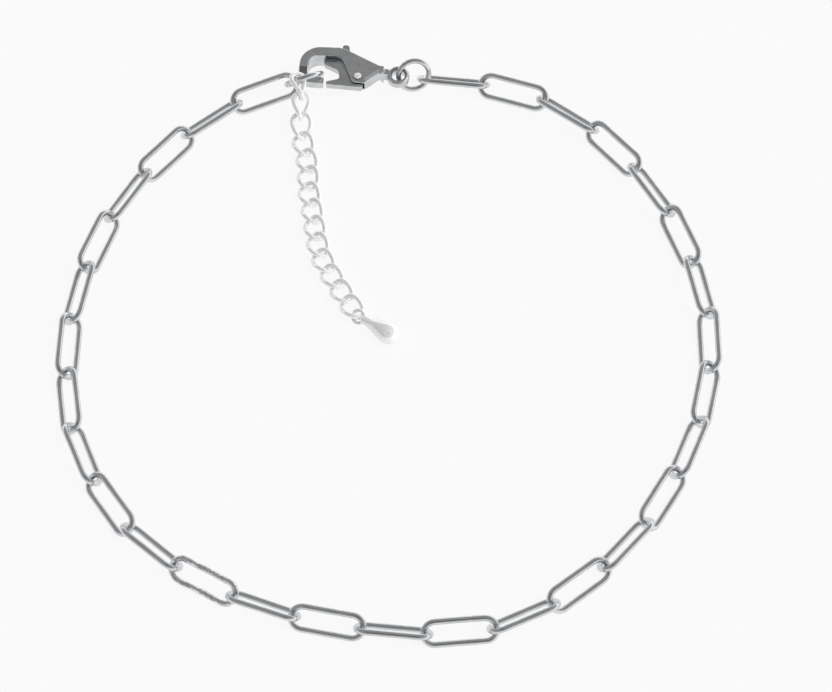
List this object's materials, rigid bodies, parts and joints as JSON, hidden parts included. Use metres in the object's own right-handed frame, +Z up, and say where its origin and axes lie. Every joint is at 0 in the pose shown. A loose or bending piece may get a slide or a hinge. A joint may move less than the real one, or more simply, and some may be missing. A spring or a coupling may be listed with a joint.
{
  "type": "chain anklet",
  "caption": "Chain anklet of long oval paperclip links, closed by a lobster clasp, with a curb extender and a small teardrop.",
  "frame": {"origin": "bottom centre of the box round the anklet as it lies", "axes": "+Z up from the surface it lies on; the clasp is at the far side, +Y, and +X is to the right in the picture"},
  "size_m": [0.0696, 0.0736, 0.0044],
  "materials": {
    "plated_steel": "polished rhodium-coloured plate on wire",
    "silver_plate": "bright silver plate",
    "clasp_metal": "cast, tumbled and plated"
  },
  "bodies": {
    "anklet": {"clasp_body": "clasp_metal", "clasp_rivet": "clasp_metal", "extender_drop": "silver_plate", "extender_link_01": "silver_plate", "extender_link_02": "silver_plate", "extender_link_03": "silver_plate", "extender_link_04": "silver_plate", "extender_link_05": "silver_plate", "extender_link_06": "silver_plate", "extender_link_07": "silver_plate", "extender_link_08": "silver_plate", "extender_link_09": "silver_plate", "extender_link_10": "silver_plate", "extender_link_11": "silver_plate", "extender_link_12": "silver_plate", "extender_link_13": "silver_plate", "extender_link_14": "silver_plate", "jump_ring_eye": "plated_steel", "jump_ring_hook": "plated_steel", "paperclip_link_01": "plated_steel", "paperclip_link_02": "plated_steel", "paperclip_link_03": "plated_steel", "paperclip_link_04": "plated_steel", "paperclip_link_05": "plated_steel", "paperclip_link_06": "plated_steel", "paperclip_link_07": "plated_steel", "paperclip_link_08": "plated_steel", "paperclip_link_09": "plated_steel", "paperclip_link_10": "plated_steel", "paperclip_link_11": "plated_steel", "paperclip_link_12": "plated_steel", "paperclip_link_13": "plated_steel", "paperclip_link_14": "plated_steel", "paperclip_link_15": "plated_steel", "paperclip_link_16": "plated_steel", "paperclip_link_17": "plated_steel", "paperclip_link_18": "plated_steel", "paperclip_link_19": "plated_steel", "paperclip_link_20": "plated_steel", "paperclip_link_21": "plated_steel", "paperclip_link_22": "plated_steel", "paperclip_link_23": "plated_steel", "paperclip_link_24": "plated_steel", "paperclip_link_25": "plated_steel", "paperclip_link_26": "plated_steel", "paperclip_link_27": "plated_steel", "paperclip_link_28": "plated_steel", "paperclip_link_29": "plated_steel", "paperclip_link_30": "plated_steel"},
    "lever": {"clasp_lever": "clasp_metal"}
  },
  "joints": [
    {"name": "lever_hinge", "type": "hinge", "parent": "anklet", "child": "lever", "pos_m": [-0.00349, 0.03211, 0.00004], "axis": [0, 0, -1], "range_deg": [0, 25], "stiffness_Nm_per_rad": 0.01}
  ]
}
